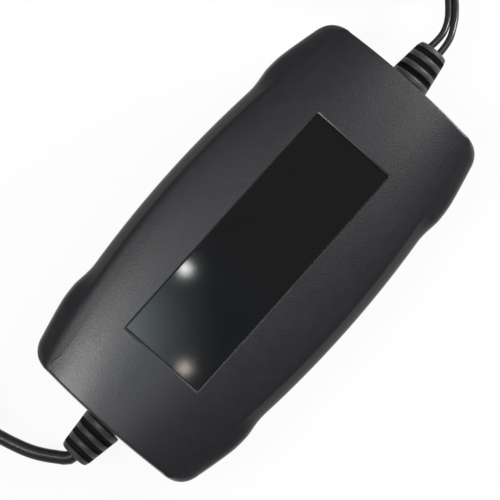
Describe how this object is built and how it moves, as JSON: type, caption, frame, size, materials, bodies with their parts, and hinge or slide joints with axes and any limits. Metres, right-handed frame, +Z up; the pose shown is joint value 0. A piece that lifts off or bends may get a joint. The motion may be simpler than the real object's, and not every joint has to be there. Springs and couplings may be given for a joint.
{
  "type": "car battery charger",
  "caption": "Mains battery charger: barrel-shaped housing with a black window, ribbed strain reliefs, a mains lead with a flat plug and a twin lead with spring clamps.",
  "frame": {"origin": "under the middle of the housing, on the surface that its feet stand on", "axes": "+X towards the end where the battery lead leaves, +Z up"},
  "size_m": [0.3803, 0.1581, 0.0499],
  "materials": {
    "housing_plastic": "fine-textured moulded plastic",
    "seal_rubber": "matte",
    "screw_steel": "zinc plated",
    "adhesive_tape": "double-sided tape",
    "window_gloss": "polished",
    "display_dark": "display glass",
    "circuit_board": "solder mask",
    "ribbon_grey": "flat cable",
    "terminal_green": "moulded",
    "core_brown": "insulation",
    "core_red": "insulation",
    "fuse_glass": "clear tube",
    "capacitor_yellow": "moulded box",
    "copper_wire": "enamelled",
    "package_black": "moulded package",
    "capacitor_blue": "shrink sleeve",
    "heat_sink_aluminium": "extruded",
    "ferrite": "sintered",
    "bobbin_plastic": "moulded",
    "relay_blue": "moulded box",
    "relief_rubber": "matte",
    "lead_black": "semi-gloss jacket",
    "tie_black": "hook tape",
    "pin_nickel": "nickel plated",
    "sleeve_black": "moulded",
    "jaw_steel": "nickel plated",
    "grip_red": "soft vinyl",
    "grip_black": "soft vinyl"
  },
  "bodies": {
    "root": {"top_shell": "housing_plastic", "bottom_shell": "housing_plastic", "case_seal": "seal_rubber", "case_screws": "screw_steel", "rubber_feet": "seal_rubber", "window_adhesive": "adhesive_tape", "display_window": "window_gloss", "display_module": "display_dark", "display_board": "circuit_board", "display_board_screws": "screw_steel", "ribbon_cable": "ribbon_grey", "main_board": "circuit_board", "board_screws": "screw_steel", "lead_terminals": "terminal_green", "mains_inner_cores": "core_brown", "mains_fuse": "fuse_glass", "fuse_clips": "screw_steel", "x_capacitor": "capacitor_yellow", "filter_choke": "copper_wire", "bridge_rectifier": "package_black", "primary_capacitor": "capacitor_blue", "primary_heat_sink": "heat_sink_aluminium", "switching_transistors": "package_black", "transformer_core": "ferrite", "transformer_bobbin": "bobbin_plastic", "transformer_winding": "copper_wire", "output_heat_sink": "heat_sink_aluminium", "output_diodes": "package_black", "output_inductor": "copper_wire", "output_capacitors": "capacitor_blue", "output_relay": "relay_blue", "output_inner_cores": "core_red", "ac_strain_relief": "relief_rubber", "dc_strain_relief": "relief_rubber", "ac_lead": "lead_black", "ac_lead_coil": "lead_black", "ac_lead_tail": "lead_black", "ac_coil_tie": "tie_black", "plug_body": "relief_rubber", "plug_strain_relief": "relief_rubber", "plug_pins": "pin_nickel", "plug_pin_sleeves": "sleeve_black", "dc_lead": "lead_black", "dc_lead_coil": "lead_black", "dc_lead_tail": "lead_black", "dc_coil_tie": "tie_black", "lead_split_sleeve": "relief_rubber", "red_lead": "lead_black", "black_lead": "lead_black", "red_fixed_jaw": "jaw_steel", "red_fixed_grip": "grip_red", "red_spring": "screw_steel", "black_fixed_jaw": "jaw_steel", "black_fixed_grip": "grip_black", "black_spring": "screw_steel", "clamp_pins": "screw_steel"},
    "red_moving": {"red_moving_jaw": "jaw_steel", "red_moving_grip": "grip_red"},
    "black_moving": {"black_moving_jaw": "jaw_steel", "black_moving_grip": "grip_black"}
  },
  "joints": [
    {"name": "red_clamp_hinge", "type": "hinge", "parent": "root", "child": "red_moving", "pos_m": [0.152, 0.093, 0.006], "axis": [0, 0, -1], "range_deg": [0, 26], "stiffness_Nm_per_rad": 0.05, "springref_deg": -28.65, "deforming": ["red_spring"]},
    {"name": "black_clamp_hinge", "type": "hinge", "parent": "root", "child": "black_moving", "pos_m": [0.152, 0.093, 0.0183], "axis": [0, 0, -1], "range_deg": [0, 26], "stiffness_Nm_per_rad": 0.05, "springref_deg": -28.65, "deforming": ["black_spring"]}
  ]
}
